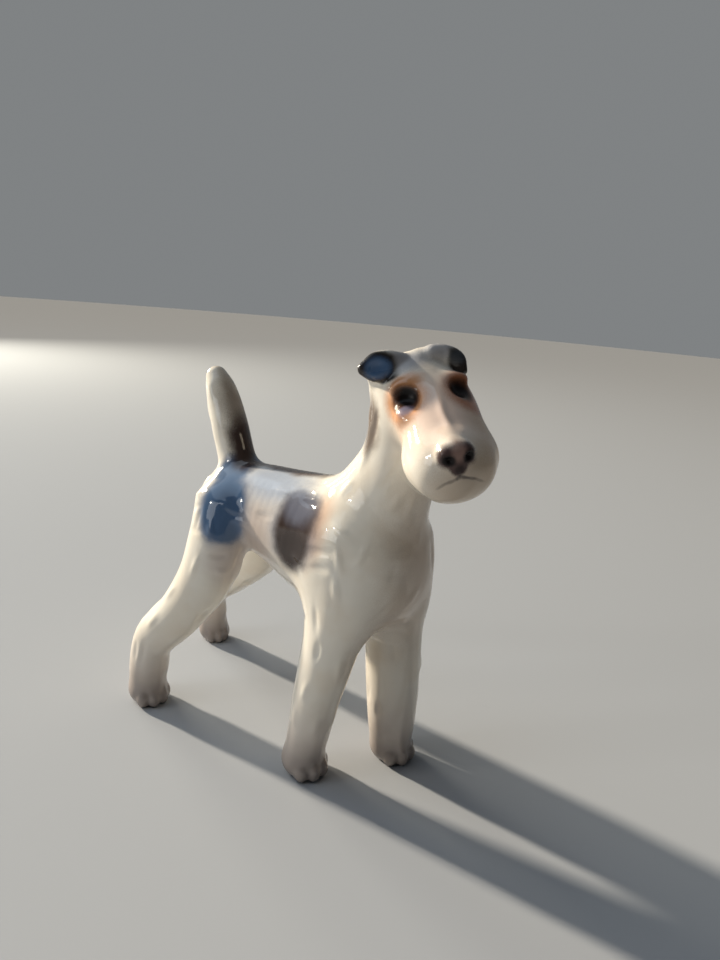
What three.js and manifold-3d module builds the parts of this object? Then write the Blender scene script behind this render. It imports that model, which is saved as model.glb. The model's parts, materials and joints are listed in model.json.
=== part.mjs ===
// A glazed porcelain figurine of a standing wire-haired terrier, as the nine
// castings that are luted together before firing: a hollow body with the neck,
// a hollow head, two ears, a tail and four legs.
// Millimetres. The dog faces -Y, +X is the dog's left side, +Z is up.

import * as THREE from 'three';
import { mergeVertices } from 'three/addons/utils/BufferGeometryUtils.js';
import Module from 'manifold-3d';

const wasm = await Module();
wasm.setup();

// ---- driving dimensions -------------------------------------------------

const SLIP_GAP = 0.3;         // film of slip between two castings
const BODY_WALL = 3.4;        // wall of the hollow body
const HEAD_WALL = 2.6;        // wall of the hollow head
const VENT_DIAMETER = 3.2;    // hole in the belly that lets the kiln steam out
const AROUND = 20;            // facets around the body
const PER_SPAN = 2;           // rings between two stations

// Stations of each form: [x, y, z, half width, half depth]
const TORSO = [
  [0, 16.5, 55.5, 6, 6.5], [0, 12, 57.2, 10.5, 10.5], [0, 3, 58.3, 10.5, 11], [0, -8, 57.2, 11.5, 13],
  [0, -19, 55.8, 12.5, 15.5], [0, -29, 54.5, 12.5, 16.5], [0, -36, 54, 10, 13.5],
];
const NECK = [
  [0, -28, 60, 10.5, 13], [0, -33.6, 69, 9.2, 11.2], [0, -37, 77, 8.2, 9.4], [-0.3, -38.6, 84, 7.7, 8.8],
  [-0.8, -38.6, 90, 7.4, 8.2], [-1, -37.6, 94, 6.8, 7.6],
];
const FRONT_RIGHT = [
  [-6.5, -30, 60, 5.5, 9], [-7.5, -30.8, 50, 6, 9], [-8.4, -30, 40, 5.7, 7.6], [-9.6, -27.8, 24, 5.1, 6.1],
  [-10.3, -26.2, 10, 4.9, 5.3], [-10.3, -25.9, 4, 5.1, 5.5],
];
const FRONT_LEFT = [
  [6.5, -33, 60, 5.5, 9], [7.5, -34, 50, 6.2, 8.5], [8, -34.6, 40, 6.3, 7.6], [8.6, -35.7, 24, 6.2, 6.9],
  [9.2, -36.6, 10, 5.6, 6.3], [9.6, -37, 4, 5.2, 5.7],
];
const REAR_RIGHT = [
  [-8, 9.5, 58, 6, 8], [-10, 9.5, 48, 6.2, 8.5], [-12.5, 11.5, 38, 5.8, 7.5], [-15, 18, 27, 5, 6.4],
  [-17, 25.4, 18, 4.7, 6.1], [-18, 26, 10, 4.7, 6], [-18.4, 25.6, 4, 4.8, 5.8],
];
const REAR_LEFT = [
  [8, 12, 58, 6, 8], [10.2, 13.5, 48, 6.2, 8.5], [12.5, 18.5, 38, 5.8, 7.5], [14.5, 29, 27, 4.8, 5.6],
  [16, 39.5, 18, 4, 4.8], [17, 40.8, 10, 4, 4.6], [17.3, 40.5, 4, 4.1, 4.7],
];
const TAIL = [
  [0, 11, 62, 5.5, 6.5], [0, 14, 69, 4.5, 5.3], [0, 17.2, 77, 4.6, 5], [0, 20.8, 85, 3.9, 4.2],
  [0, 23, 89, 2.7, 2.9],
];

// The head is modelled about its own origin in the skull, muzzle along -Y.
const HEAD_AT = new THREE.Vector3(1.1, -40.8, 94.3);
const HEAD_TURN = { yaw: -37, pitch: 25, roll: -13 };
const HEAD = [
  [0, 2, 0, 8.4, 7.6], [0, -6, -0.2, 8.2, 7.2], [0.3, -13, -1.1, 8.2, 7.2], [0, -19, -2.2, 8.5, 7.5],
  [0, -21.5, -2.5, 8, 6.9],
];
const RIGHT_EYE = [-4.9, -7.8, 3.6];
const LEFT_EYE = [5.7, -7.8, 4.2];
const RIGHT_EAR = [
  [-4.6, 2.8, 6.2, 2.4, 2.2], [-7.4, 1.8, 6.9, 3.1, 1.6], [-10.4, 0.8, 7.3, 3, 1.3], [-12.9, 0.3, 7.7, 1.3, 0.9],
];
const LEFT_EAR = [
  [2.6, 3, 7.4, 2.2, 2.2], [5, 2.1, 7.4, 2.6, 1.8], [7.1, 0.6, 6.4, 2.5, 1.4], [7.9, -1.4, 4.4, 1.2, 0.9],
];
const EAR_SPAN = new THREE.Vector3(0, 0.5, 0.86);   // across a flap, up and back

// Paws: where each one stands, and how big it is
const PAWS = {
  front_right: { at: [-10.2, -26.8], size: 1.04 },
  front_left: { at: [9.6, -38], size: 1 },
  rear_right: { at: [-18.4, 25.2], size: 0.98 },
  rear_left: { at: [17.3, 39.5], size: 0.88 },
};

// ---- forms ---------------------------------------------------------------

function ovalLoft(stations, side = new THREE.Vector3(1, 0, 0), around = AROUND) {
  const path = new THREE.CatmullRomCurve3(
    stations.map(([x, y, z]) => new THREE.Vector3(x, y, z)), false, 'catmullrom', 0.5);
  const sizes = new THREE.CatmullRomCurve3(
    stations.map(([, , , w, d]) => new THREE.Vector3(w, d, 0)), false, 'catmullrom', 0.5);
  const count = (stations.length - 1) * PER_SPAN;
  const rings = [];
  const addRing = (centre, axis, w, d) => {
    const across = side.clone().addScaledVector(axis, -side.dot(axis)).normalize();
    const deep = axis.clone().cross(across);
    rings.push([...Array(around).keys()].map((i) => {
      const a = (2 * Math.PI * i) / around;
      return centre.clone().addScaledVector(across, w * Math.cos(a)).addScaledVector(deep, d * Math.sin(a));
    }));
  };
  const end = (t, sign) => {
    const centre = path.getPoint(t);
    const axis = path.getTangent(t);
    const size = sizes.getPoint(t);
    const reach = Math.min(size.x, size.y);
    const steps = [0.92, 0.66, 0.34];
    for (const s of sign < 0 ? steps : steps.slice().reverse()) {
      const k = Math.sqrt(1 - s * s);
      addRing(centre.clone().addScaledVector(axis, sign * reach * s), axis, size.x * k, size.y * k);
    }
    return centre.clone().addScaledVector(axis, sign * reach);
  };
  const first = end(0, -1);
  for (let i = 0; i <= count; i++) {
    const t = i / count;
    const size = sizes.getPoint(t);
    addRing(path.getPoint(t), path.getTangent(t), size.x, size.y);
  }
  const last = end(1, 1);
  return closedSkin(rings, first, last);
}

function closedSkin(rings, first, last) {
  const around = rings[0].length;
  const points = [...rings.flat(), first, last];
  const apexA = rings.length * around;
  const apexB = apexA + 1;
  const faces = [];
  for (let i = 0; i < around; i++) {
    const j = (i + 1) % around;
    faces.push(apexA, j, i);
    for (let r = 0; r + 1 < rings.length; r++) {
      const a = r * around;
      const b = a + around;
      faces.push(a + i, a + j, b + j, a + i, b + j, b + i);
    }
    const z = (rings.length - 1) * around;
    faces.push(apexB, z + i, z + j);
  }
  const skin = new THREE.BufferGeometry();
  skin.setAttribute('position', new THREE.Float32BufferAttribute(points.flatMap((p) => p.toArray()), 3));
  skin.setIndex(faces);
  return skin;
}

function oval(centre, radii, detail = 16) {
  const r = Array.isArray(radii) ? radii : [radii, radii, radii];
  const ball = new THREE.SphereGeometry(1, detail, Math.round(detail * 0.6));
  return ball.scale(...r).translate(...centre);
}

function bar(from, to, radius, around = 8) {
  const a = new THREE.Vector3(...from);
  const b = new THREE.Vector3(...to);
  const length = a.distanceTo(b);
  const turn = new THREE.Quaternion().setFromUnitVectors(
    new THREE.Vector3(0, 1, 0), b.clone().sub(a).normalize());
  const middle = a.add(b).multiplyScalar(0.5);
  return new THREE.CylinderGeometry(radius, radius, length, around)
    .applyQuaternion(turn).translate(middle.x, middle.y, middle.z);
}

// ---- solids ----------------------------------------------------------------

function solid(geometry) {
  geometry.deleteAttribute('normal');
  geometry.deleteAttribute('uv');
  const welded = mergeVertices(geometry, 1e-4);
  const position = welded.getAttribute('position').array;
  const index = welded.getIndex().array;
  const kept = [];
  for (let i = 0; i < index.length; i += 3) {
    const [a, b, c] = index.slice(i, i + 3);
    if (a !== b && b !== c && c !== a) kept.push(a, b, c);
  }
  return new wasm.Manifold(new wasm.Mesh({
    numProp: 3, vertProperties: new Float32Array(position), triVerts: new Uint32Array(kept),
  }));
}

function union(...parts) {
  return parts.reduce((whole, part) => whole.add(part));
}

// Everything on the normal's side of a plane, moved back by a gap
function beyond(point, normal, back = 0, matrix = null) {
  const n = new THREE.Vector3(...normal).normalize();
  const block = new THREE.BoxGeometry(300, 300, 300).translate(0, 0, 150 - back);
  block.applyQuaternion(new THREE.Quaternion().setFromUnitVectors(new THREE.Vector3(0, 0, 1), n));
  block.translate(...point);
  if (matrix) block.applyMatrix4(matrix);
  return solid(block);
}

function block(low, high, matrix = null) {
  const size = high.map((v, k) => v - low[k]);
  const middle = high.map((v, k) => (v + low[k]) / 2);
  const box = new THREE.BoxGeometry(...size).translate(...middle);
  if (matrix) box.applyMatrix4(matrix);
  return solid(box);
}

function shrunk(stations, wall, from = 0, to = stations.length) {
  return stations.slice(from, to).map(([x, y, z, w, d]) => [x, y, z, w - wall, d - wall]);
}

// ---- the whole dog, before it is parted ---------------------------------------

const headMatrix = new THREE.Matrix4().compose(
  HEAD_AT,
  new THREE.Quaternion().setFromEuler(new THREE.Euler(
    THREE.MathUtils.degToRad(HEAD_TURN.pitch),
    THREE.MathUtils.degToRad(HEAD_TURN.roll),
    THREE.MathUtils.degToRad(HEAD_TURN.yaw), 'ZXY')),
  new THREE.Vector3(1, 1, 1));
const onHead = (geometry) => solid(geometry.applyMatrix4(headMatrix));

function paw({ at: [x, y], size }) {
  const pad = oval([x, y, 3.9], [5.1 * size, 5.7 * size, 4.3]);
  const toes = [-0.42, 0, 0.42].map((turn) => {
    const dx = Math.sin(turn);
    const dy = -Math.cos(turn);
    const reach = 5.7 * size;
    return bar([x + dx * (reach + 0.5), y + dy * (reach + 0.5), -1],
      [x + dx * reach * 0.72, y + dy * reach * 0.72, 7.2], 0.45, 8);
  });
  return { pad: solid(pad), toes };
}

const legs = {};
for (const [name, stations] of Object.entries({
  front_right: FRONT_RIGHT, front_left: FRONT_LEFT, rear_right: REAR_RIGHT, rear_left: REAR_LEFT,
})) {
  legs[name] = union(solid(ovalLoft(stations, undefined, 14)), paw(PAWS[name]).pad);
}
const fillets = union(
  solid(oval([0, -26, 66], [9, 9, 8.5])),                 // withers
  solid(oval([3, -37, 60], [9, 8.2, 9])),                 // point of the breast
  solid(oval([-6.5, -30, 56], [6.8, 9, 12])),             // right shoulder
  solid(oval([6.5, -33, 56], [6.8, 9, 12])),              // left shoulder
  solid(oval([-7, 9.5, 56], [7.8, 9, 10])),               // right haunch
  solid(oval([7, 11.5, 56], [7.8, 9, 10])),               // left haunch
  solid(oval([0, 11.5, 64], [7, 8, 5])),                  // set of the tail
);
const body = union(solid(ovalLoft(TORSO)), solid(ovalLoft(NECK)), fillets);
const tail = solid(ovalLoft(TAIL, undefined, 14));

const skull = union(
  onHead(ovalLoft(HEAD, undefined, 22)),
  onHead(oval([0.4, -17.5, -3.6], [9.9, 8, 6.3], 20)),     // whiskered muzzle
  onHead(oval([0, -21, -1.2], [7.6, 6.4, 6.4], 20)),       // blunt end of the muzzle
  onHead(oval([-0.9, -26.3, 3.1], [3.5, 2, 2.9], 14)),     // nose
  onHead(oval([-5.1, -4.4, 5.2], [2.8, 2, 1.6], 12)),      // right brow
  onHead(oval([5.7, -4.4, 5.2], [2.8, 2, 1.6], 12)),       // left brow
);
const faceCuts = union(
  onHead(oval([-5, -8.4, 6.2], [2.9, 3.4, 2.5], 14)),
  onHead(oval([5.8, -8.4, 6.8], [2.9, 3.4, 2.5], 14)),
  onHead(oval([-2.3, -28.1, 2.4], [0.7, 1, 0.7], 8)),
  onHead(oval([0.5, -28.1, 2.4], [0.7, 1, 0.7], 8)),
  onHead(bar([-0.9, -28.2, 0.6], [-0.6, -28, -2.6], 0.4)),
  onHead(bar([-0.5, -28.2, -2.4], [-5.2, -26.4, -4.6], 0.4)),
  onHead(bar([-0.7, -28.2, -2.4], [4.6, -26.6, -4.4], 0.4)),
);
const eyes = union(
  onHead(oval(RIGHT_EYE, [2.1, 2.1, 1.9], 14)),
  onHead(oval(LEFT_EYE, [2.1, 2.1, 1.9], 14)),
);

// ---- where the castings part -----------------------------------------------------

const SEAMS = {
  front_right_leg: { at: [0, -30, 36.5], out: [-1.1, -0.2, -1], low: [-60, -70, -10], high: [-0.4, -8, 80] },
  front_left_leg: { at: [0, -30, 36.5], out: [1.1, -0.2, -1], low: [0.4, -70, -10], high: [60, -8, 80] },
  rear_right_leg: { at: [0, 12, 44], out: [-1.1, 0.25, -1], low: [-60, -4, -10], high: [-0.4, 70, 80] },
  rear_left_leg: { at: [0, 12, 44], out: [1.1, 0.25, -1], low: [0.4, -4, -10], high: [60, 70, 80] },
  tail: { at: [0, 13.5, 69], out: [0, 0.37, 0.93], low: [-20, 0, 60], high: [20, 50, 110] },
  head_shell: { at: [0, -31, 93], out: [0, -0.8, 0.6], low: [-50, -90, 66], high: [50, 0, 130] },
};
const EAR_SEAMS = {
  right_ear: { at: [-5.2, 2.6, 6.4], out: [-0.55, 0, 0.83], low: [-20, -2.4, 1], high: [-1.4, 12, 20] },
  left_ear: { at: [4.6, 2.2, 7.3], out: [0.75, 0, 0.66], low: [0.6, -2.3, 1], high: [20, 12, 20] },
};

function region({ at, out, low, high }, back = 0, matrix = null) {
  return beyond(at, out, back, matrix).intersect(block(low, high, matrix));
}

// ---- the castings ---------------------------------------------------------------------

const ground = block([-100, -100, -50], [100, 100, 0]);
const dog = union(body, tail, ...Object.values(legs));
const castings = {};

for (const side of Object.keys(legs)) {
  let leg = dog.intersect(region(SEAMS[`${side}_leg`])).subtract(ground);
  for (const toe of paw(PAWS[side]).toes) leg = leg.subtract(solid(toe));
  castings[`${side}_leg`] = leg;
}
castings.tail = dog.intersect(region(SEAMS.tail));

const bodyHollow = union(
  solid(ovalLoft(shrunk(TORSO, BODY_WALL, 1), undefined, 12)),
  solid(ovalLoft(shrunk(NECK, BODY_WALL), undefined, 12)),
);
const headHollow = union(
  onHead(ovalLoft(shrunk(HEAD, HEAD_WALL + 1.4, 0, 4), undefined, 12)),
  solid(ovalLoft(shrunk(NECK, BODY_WALL, 1), undefined, 12)),
);
let torso = dog.subtract(bodyHollow).subtract(solid(bar([0, -4, 30], [0, -4, 52], VENT_DIAMETER / 2, 24)));
for (const seam of Object.values(SEAMS)) torso = torso.subtract(region(seam, SLIP_GAP));
castings.torso_shell = torso;

const flaps = {
  right_ear: onHead(ovalLoft(RIGHT_EAR, EAR_SPAN, 12)),
  left_ear: onHead(ovalLoft(LEFT_EAR, EAR_SPAN, 12)),
};
const earRoots = union(
  onHead(oval([-4.8, 2.6, 6.3], [2.9, 2.3, 2.6], 14)),
  onHead(oval([3.6, 2.6, 7.2], [2.6, 2.2, 2.4], 14)),
);
let head = union(skull, solid(ovalLoft(NECK))).subtract(faceCuts).add(eyes).add(earRoots);
head = head.intersect(region(SEAMS.head_shell)).subtract(headHollow);
for (const [name, seam] of Object.entries(EAR_SEAMS)) {
  castings[name] = flaps[name].intersect(region(seam, 0, headMatrix));
}
for (const seam of Object.values(EAR_SEAMS)) head = head.subtract(region(seam, SLIP_GAP, headMatrix));
castings.head_shell = head;

// ---- assembly, with the origin under the middle of the dog -----------------------------

const GLAZE = { color: 0xe9e4da, roughness: 0.15, metalness: 0 };
const EAR_GLAZE = { color: 0x2b3340, roughness: 0.15, metalness: 0 };
const ORDER = ['torso_shell', 'head_shell', 'left_ear', 'right_ear', 'tail',
  'front_left_leg', 'front_right_leg', 'rear_left_leg', 'rear_right_leg'];

const figurine = new THREE.Group();
figurine.name = 'terrier_figurine';
for (const name of ORDER) {
  const { vertProperties, triVerts, numProp } = castings[name].getMesh();
  const points = [];
  for (let i = 0; i < vertProperties.length; i += numProp) points.push(...vertProperties.slice(i, i + 3));
  const geometry = new THREE.BufferGeometry();
  geometry.setAttribute('position', new THREE.Float32BufferAttribute(points, 3));
  geometry.setIndex(Array.from(triVerts));
  geometry.computeVertexNormals();
  const finish = name.endsWith('ear') ? EAR_GLAZE : GLAZE;
  const mesh = new THREE.Mesh(geometry, new THREE.MeshStandardMaterial(finish));
  mesh.name = name;
  figurine.add(mesh);
}
const box = new THREE.Box3().setFromObject(figurine);
for (const mesh of figurine.children) {
  mesh.geometry.translate(-(box.min.x + box.max.x) / 2, -(box.min.y + box.max.y) / 2, -box.min.z);
}

export default figurine;
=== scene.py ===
"""Glazed porcelain terrier: its nine castings, sculpted as one soft clay and parted where they are luted."""

import json
import math

import bmesh
import bpy
import numpy as np
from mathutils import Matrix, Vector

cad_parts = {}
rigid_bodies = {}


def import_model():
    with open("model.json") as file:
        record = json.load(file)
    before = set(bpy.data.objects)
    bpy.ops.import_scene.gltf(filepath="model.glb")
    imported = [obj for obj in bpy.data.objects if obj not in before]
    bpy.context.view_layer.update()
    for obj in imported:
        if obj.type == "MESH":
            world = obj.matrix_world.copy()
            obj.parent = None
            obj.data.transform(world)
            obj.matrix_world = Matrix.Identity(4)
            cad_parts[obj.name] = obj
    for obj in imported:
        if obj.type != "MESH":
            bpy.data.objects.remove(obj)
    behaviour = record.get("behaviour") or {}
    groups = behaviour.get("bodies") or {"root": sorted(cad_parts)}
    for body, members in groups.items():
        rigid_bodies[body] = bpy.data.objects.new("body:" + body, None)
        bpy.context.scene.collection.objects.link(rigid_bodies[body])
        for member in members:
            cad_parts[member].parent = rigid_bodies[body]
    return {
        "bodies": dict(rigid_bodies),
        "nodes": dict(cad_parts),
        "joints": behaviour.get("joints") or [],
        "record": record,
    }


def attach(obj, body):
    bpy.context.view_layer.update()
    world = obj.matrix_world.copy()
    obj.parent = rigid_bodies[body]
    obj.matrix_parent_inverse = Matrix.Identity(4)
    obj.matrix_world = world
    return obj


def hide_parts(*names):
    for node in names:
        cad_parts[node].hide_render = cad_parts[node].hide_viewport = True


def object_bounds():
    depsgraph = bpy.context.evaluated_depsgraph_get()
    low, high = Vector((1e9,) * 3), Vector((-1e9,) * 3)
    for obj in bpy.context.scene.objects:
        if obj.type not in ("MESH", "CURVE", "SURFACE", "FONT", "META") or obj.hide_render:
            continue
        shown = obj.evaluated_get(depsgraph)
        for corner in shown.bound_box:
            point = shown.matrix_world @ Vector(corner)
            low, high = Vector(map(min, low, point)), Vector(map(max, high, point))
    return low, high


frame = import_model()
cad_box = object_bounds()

import openvdb as vdb
from mathutils import Matrix, Vector

MM = 0.001
CAD_LOW = (-23.398, -63.272, 0.0)  # the modelling frame's lowest corner, mm
SHIFT = np.array([cad_box[0][k] / MM - CAD_LOW[k] for k in range(3)])
BODY_STEP, HEAD_STEP = ((0.45, 0.28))


# ---------------------------------------------------------------- clay


def rotation(yaw=0, pitch=0, roll=0):
    """Turns about Z, then the turned X, then the turned Y, in degrees."""
    a, b, c = (math.radians(v) for v in (yaw, pitch, roll))
    rz = np.array([[math.cos(a), -math.sin(a), 0], [math.sin(a), math.cos(a), 0], [0, 0, 1]])
    rx = np.array([[1, 0, 0], [0, math.cos(b), -math.sin(b)], [0, math.sin(b), math.cos(b)]])
    ry = np.array([[math.cos(c), 0, math.sin(c)], [0, 1, 0], [-math.sin(c), 0, math.cos(c)]])
    return rz @ rx @ ry


class Frame:
    """A local frame in the modelling frame, mm."""

    def __init__(self, origin=(0, 0, 0), turn=None):
        self.origin = np.array(origin, float)
        self.turn = np.eye(3) if turn is None else turn

    def out(self, p):
        return self.turn @ np.asarray(p, float) + self.origin

    def local(self, points):
        return (np.asarray(points, float) - self.origin) @ self.turn


BODY = Frame()
HEAD = Frame((1.1, -40.8, 94.3), rotation(yaw=-37, pitch=25, roll=-13))


def smooth_min(a, b, k):
    if k <= 0:
        return np.minimum(a, b)
    h = np.maximum(k - np.abs(a - b), 0) / k
    return np.minimum(a, b) - h * h * h * k / 6


class Clay:
    """A distance field on a grid, negative inside, built up by adding and cutting shapes."""

    def __init__(self, low, high, step):
        self.low = np.array(low, float)
        self.step = step
        count = np.ceil((np.array(high) - low) / step).astype(int) + 1
        self.axes = [self.low[k] + step * np.arange(count[k]) for k in range(3)]
        self.field = np.full(count, 20.0, np.float32)

    def window(self, corners, reach):
        low, high = corners.min(0) - reach, corners.max(0) + reach
        found = []
        for k, n in enumerate(self.field.shape):
            first = int(np.clip(np.floor((low[k] - self.low[k]) / self.step), 0, n))
            last = int(np.clip(np.ceil((high[k] - self.low[k]) / self.step) + 1, 0, n))
            found.append(slice(first, last))
        return tuple(found)

    def distances(self, shape, blend, local):
        """The window a shape reaches, and its distances there. A shape is a list of (corners, distance)."""
        placed = [(np.array([local.out(c) for c in corners]), distance) for corners, distance in shape]
        whole = self.window(np.vstack([corners for corners, _ in placed]), blend + 2.5)
        found = np.full(self.field[whole].shape, 20.0, np.float32)
        o, t = local.origin, local.turn.astype(np.float32)
        for corners, distance in placed:
            window = self.window(corners, blend + 2.5)
            inner = tuple(slice(w.start - v.start, w.stop - v.start) for w, v in zip(window, whole))
            if found[inner].size == 0:
                continue
            axes = (((self.axes[k][window[k]] - o[k]).astype(np.float32)) for k in range(3))
            x, y, z = np.meshgrid(*axes, indexing="ij", sparse=True)
            d = distance(*(t[0, k] * x + t[1, k] * y + t[2, k] * z for k in range(3)))
            found[inner] = np.minimum(found[inner], d)
        return whole, found

    def add(self, shape, blend=2.0, local=BODY):
        window, d = self.distances(shape, blend, local)
        self.field[window] = smooth_min(self.field[window], d, blend)

    def cut(self, shape, blend=1.0, local=BODY):
        window, d = self.distances(shape, blend, local)
        self.field[window] = -smooth_min(-self.field[window], d, blend)

    def soften(self, radius):
        s = radius / self.step
        n = max(1, int(math.ceil(2.5 * s)))
        kernel = np.exp(-0.5 * (np.arange(-n, n + 1) / s) ** 2)
        kernel /= kernel.sum()
        for axis in range(3):
            total = np.zeros_like(self.field)
            for i, weight in enumerate(kernel):
                total += np.float32(weight) * np.roll(self.field, i - n, axis)
            self.field = total

    def ripple(self, spacing, seed, weight):
        """Adds smooth relief, with knots at a fixed spacing so that every grid gets the same one."""
        low, size = np.array([-40.0, -90.0, -20.0]), np.array([90.0, 170.0, 150.0])
        count = np.ceil(size / spacing).astype(int) + 4
        knots = np.random.default_rng(seed).uniform(-1, 1, count)
        for k in range(3):
            t = np.abs((self.axes[k][:, None] - low[k]) / spacing[k] - np.arange(count[k])[None, :])
            basis = np.where(t < 1, 2 / 3 - t * t + t**3 / 2, np.where(t < 2, (2 - t) ** 3 / 6, 0))
            knots = np.moveaxis(np.tensordot(basis, knots, axes=(1, k)), 0, k)
        x, y, z = np.meshgrid(*self.axes, indexing="ij", sparse=True)
        self.field += (knots * weight(x, y, z)).astype(np.float32)

    def sample(self, points):
        """The field at the points, by trilinear interpolation."""
        p = (points - self.low) / self.step
        top = np.array(self.field.shape) - 2
        i = np.clip(np.floor(p).astype(int), 0, top)
        f = np.clip(p - i, 0, 1)
        total = 0
        for a in (0, 1):
            for b in (0, 1):
                for c in (0, 1):
                    weight = (
                        (f[:, 0] if a else 1 - f[:, 0])
                        * (f[:, 1] if b else 1 - f[:, 1])
                        * (f[:, 2] if c else 1 - f[:, 2])
                    )
                    total = total + weight * self.field[i[:, 0] + a, i[:, 1] + b, i[:, 2] + c]
        return total

    def slope(self, points):
        """The field's gradient at the points."""
        h = self.step
        rises = [self.sample(points + h * e) - self.sample(points - h * e) for e in np.eye(3)]
        return np.stack([rise / (2 * h) for rise in rises], axis=1)

    def skin(self, passes=6):
        """The surface as points and quads, evened out and drawn back onto the field."""
        grid = vdb.FloatGrid(20.0)
        grid.copyFromArray(self.field)
        points, quads = grid.convertToQuads(isovalue=0.0)
        points = points.astype(float) * self.step + self.low
        quads = quads.astype(int)
        ends = np.vstack([quads[:, [k, (k + 1) % 4]] for k in range(4)])
        degree = np.maximum(np.bincount(ends[:, 0], minlength=len(points)), 1)
        for _ in range(passes):
            mean = np.stack(
                [np.bincount(ends[:, 0], points[ends[:, 1], k], len(points)) for k in range(3)], 1
            )
            points = points + 0.6 * (mean / degree[:, None] - points)
            slope = self.slope(points)
            steepness = np.maximum((slope**2).sum(1), 0.05)[:, None]
            points = points - self.sample(points)[:, None] * slope / steepness
        a, b, c, d = (points[quads[:, k]] for k in range(4))
        facing = (np.cross(c - a, d - b) * self.slope((a + b + c + d) / 4)).sum()
        return points, quads if facing > 0 else quads[:, ::-1]


def box_corners(low, high):
    x, y, z = zip(low, high)
    return np.array([[i, j, k] for i in x for j in y for k in z])


def ellipsoid_distance(sides, radii):
    near = np.sqrt(sum((u / r) ** 2 for u, r in zip(sides, radii)))
    steep = np.sqrt(sum((u / r**2) ** 2 for u, r in zip(sides, radii)))
    return near * (near - 1) / np.maximum(steep, 1e-6)


def ball(centre, radii, yaw=0, pitch=0, roll=0):
    c, r = np.array(centre, np.float32), np.array(radii, np.float32)
    t = rotation(yaw, pitch, roll).astype(np.float32)

    def distance(x, y, z):
        x, y, z = x - c[0], y - c[1], z - c[2]
        return ellipsoid_distance([t[0, k] * x + t[1, k] * y + t[2, k] * z for k in range(3)], r)

    return [(box_corners(c - r.max(), c + r.max()), distance)]


def spline(rows, per_span):
    """A Catmull-Rom curve through rows of any width."""
    rows = np.array(rows, float)
    padded = np.vstack([2 * rows[0] - rows[1], rows, 2 * rows[-1] - rows[-2]])
    found = []
    for i in range(1, len(padded) - 2):
        p0, p1, p2, p3 = padded[i - 1 : i + 3]
        for t in np.arange(per_span) / per_span:
            bend = (2 * p0 - 5 * p1 + 4 * p2 - p3) * t**2 + (3 * p1 - p0 - 3 * p2 + p3) * t**3
            found.append(0.5 * (2 * p1 + (p2 - p0) * t + bend))
    return np.array(found + [padded[-2]])


def span(a, b, start, end, side):
    """One straight stretch of a limb, from a to b, with its half sizes at each end."""
    length = np.linalg.norm(b - a)
    axis = (b - a) / length
    s = side - (side @ axis) * axis
    s /= np.linalg.norm(s)
    frame = np.stack([axis, s, np.cross(axis, s)]).astype(np.float32)
    reach = max(*start, *end)

    def distance(x, y, z):
        x, y, z = x - np.float32(a[0]), y - np.float32(a[1]), z - np.float32(a[2])
        along, across, over = (row[0] * x + row[1] * y + row[2] * z for row in frame)
        t = np.clip(along / np.float32(length), 0, 1)
        wide, deep = (np.float32(start[k]) + np.float32(end[k] - start[k]) * t for k in (0, 1))
        past_end = along - t * np.float32(length)
        return ellipsoid_distance((across, over, past_end), (wide, deep, np.minimum(wide, deep)))

    return box_corners(np.minimum(a, b) - reach, np.maximum(a, b) + reach), distance


def limb(stations, side=(1, 0, 0), per_span=5):
    """A tube through stations (x, y, z, half width along side, half depth across it)."""
    rows = spline([s if len(s) == 5 else (*s, s[3]) for s in stations], per_span)
    side = np.array(side, float)
    return [span(p[:3], q[:3], p[3:], q[3:], side) for p, q in zip(rows[:-1], rows[1:])]


# ---------------------------------------------------------------- the dog's shapes, mm

TORSO = [
    (0, 16.5, 55.5, 6, 6.5), (0, 12, 57.2, 10.5, 10.5), (0, 3, 58.3, 10.5, 11), (0, -8, 57.2, 11.5, 13),
    (0, -19, 55.8, 12.5, 15.5), (0, -29, 54.5, 12.5, 16.5), (0, -36, 54, 10, 13.5),
]
NECK = [
    (0, -28, 60, 10.5, 13), (0, -33.6, 69, 9.2, 11.2), (0, -37, 77, 8.2, 9.4),
    (-0.3, -38.6, 84, 7.7, 8.8), (-0.8, -38.6, 90, 7.4, 8.2), (-1, -37.6, 94, 6.8, 7.6),
]
FRONT_RIGHT = [
    (-6.5, -30, 60, 5.5, 9), (-7.5, -30.8, 50, 6, 9), (-8.4, -30, 40, 5.7, 7.6),
    (-9.6, -27.6, 24, 5.1, 6.1), (-10.2, -25.6, 10, 4.9, 5.1), (-10.2, -24.7, 4, 4.7, 4.7),
]
FRONT_LEFT = [
    (6.5, -33, 60, 5.5, 9), (7.5, -34, 50, 6.2, 8.5), (8, -34.6, 40, 6.3, 7.6),
    (8.4, -35.9, 24, 6.2, 6.9), (9.2, -36.6, 10, 5.8, 6), (9.8, -36.4, 4, 4.7, 4.8),
]
REAR_RIGHT = [
    (-8, 9.5, 58, 6, 8), (-10, 9.5, 48, 6.2, 8.5), (-12.5, 11.5, 38, 5.8, 7.5), (-15, 18, 27, 5, 6.4),
    (-17, 25.4, 18, 4.7, 6), (-18, 26.2, 10, 5, 5.6), (-18.4, 26.4, 4, 4.5, 4.8),
]
REAR_LEFT = [
    (8, 12, 58, 6, 8), (10.2, 13.5, 48, 6.2, 8.5), (12.5, 18.5, 38, 5.8, 7.5), (14.5, 29, 27, 4.8, 5.6),
    (16, 39.5, 18, 4, 4.8), (17, 40.8, 10, 4, 4.5), (17.3, 41, 4, 4, 4.2),
]
TAIL = [
    (0, 11, 62, 5.5, 6.5), (0, 14, 69, 4.5, 5.3), (0, 17.2, 77, 4.6, 5),
    (0, 20.8, 85, 3.9, 4.2), (0, 23, 89, 2.7, 2.9),
]
PAWS = [(-10.2, -24.7, 1.06), (9.8, -36.4, 1.08), (-18.4, 26.2, 1.04), (17.3, 40.8, 0.88)]
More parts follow.
